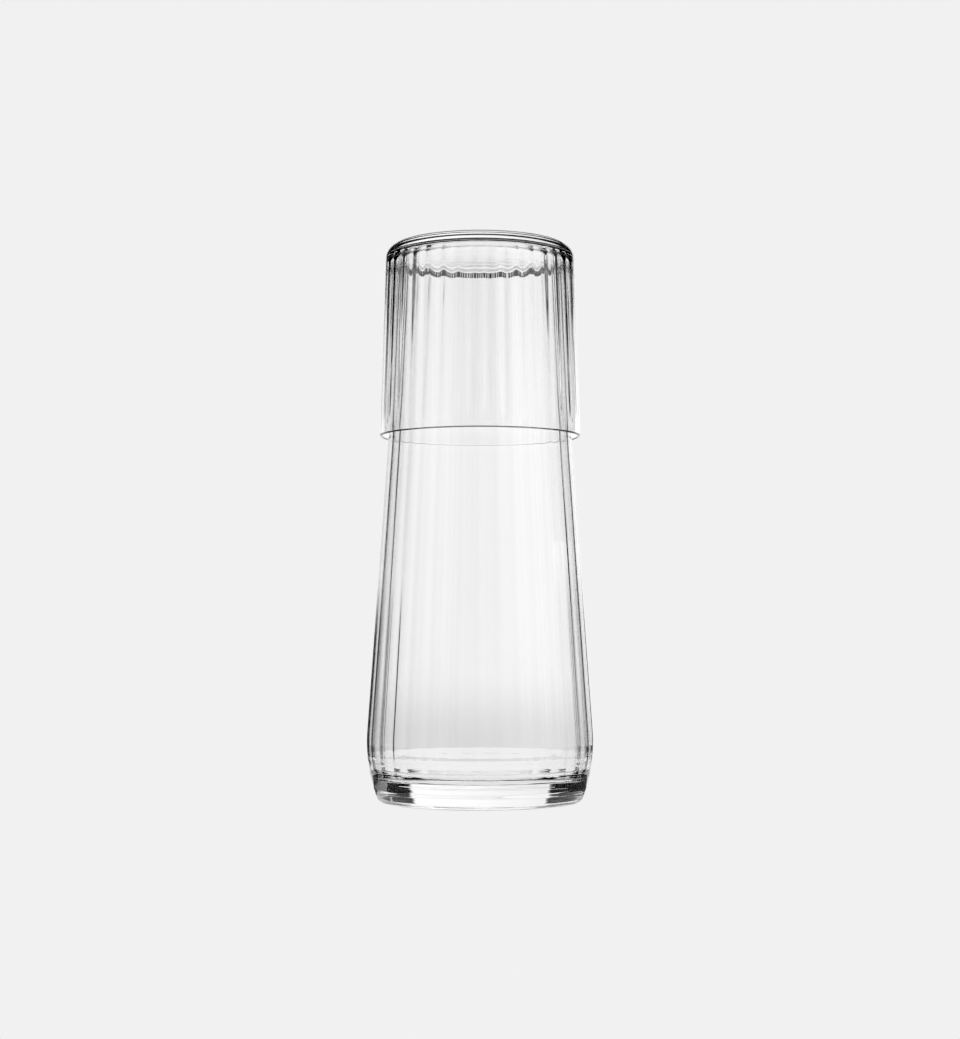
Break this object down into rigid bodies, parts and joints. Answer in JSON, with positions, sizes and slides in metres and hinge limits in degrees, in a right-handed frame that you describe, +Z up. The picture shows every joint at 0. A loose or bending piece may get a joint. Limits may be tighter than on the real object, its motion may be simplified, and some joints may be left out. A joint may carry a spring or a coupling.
{
  "type": "bedside carafe with tumbler",
  "caption": "Tapered clear glass bedside carafe with a matching tumbler turned over its neck as a lid, both fluted inside.",
  "frame": {"origin": "on the table, under the centre of the carafe's foot", "axes": "+Z up along the axis that the carafe and the tumbler share, from the foot to the tumbler's upturned base; +X and +Y level, with nothing to tell them apart"},
  "size_m": [0.09, 0.09, 0.2227],
  "materials": {
    "clear_glass": "clear blown glass, glossy inside and out"
  },
  "bodies": {
    "carafe": {"carafe": "clear_glass"},
    "tumbler": {"tumbler": "clear_glass"}
  },
  "joints": [
    {"name": "tumbler_lift", "type": "slide", "parent": "carafe", "child": "tumbler", "axis": [0, 0, 1], "range_m": [0, 0.09]}
  ]
}
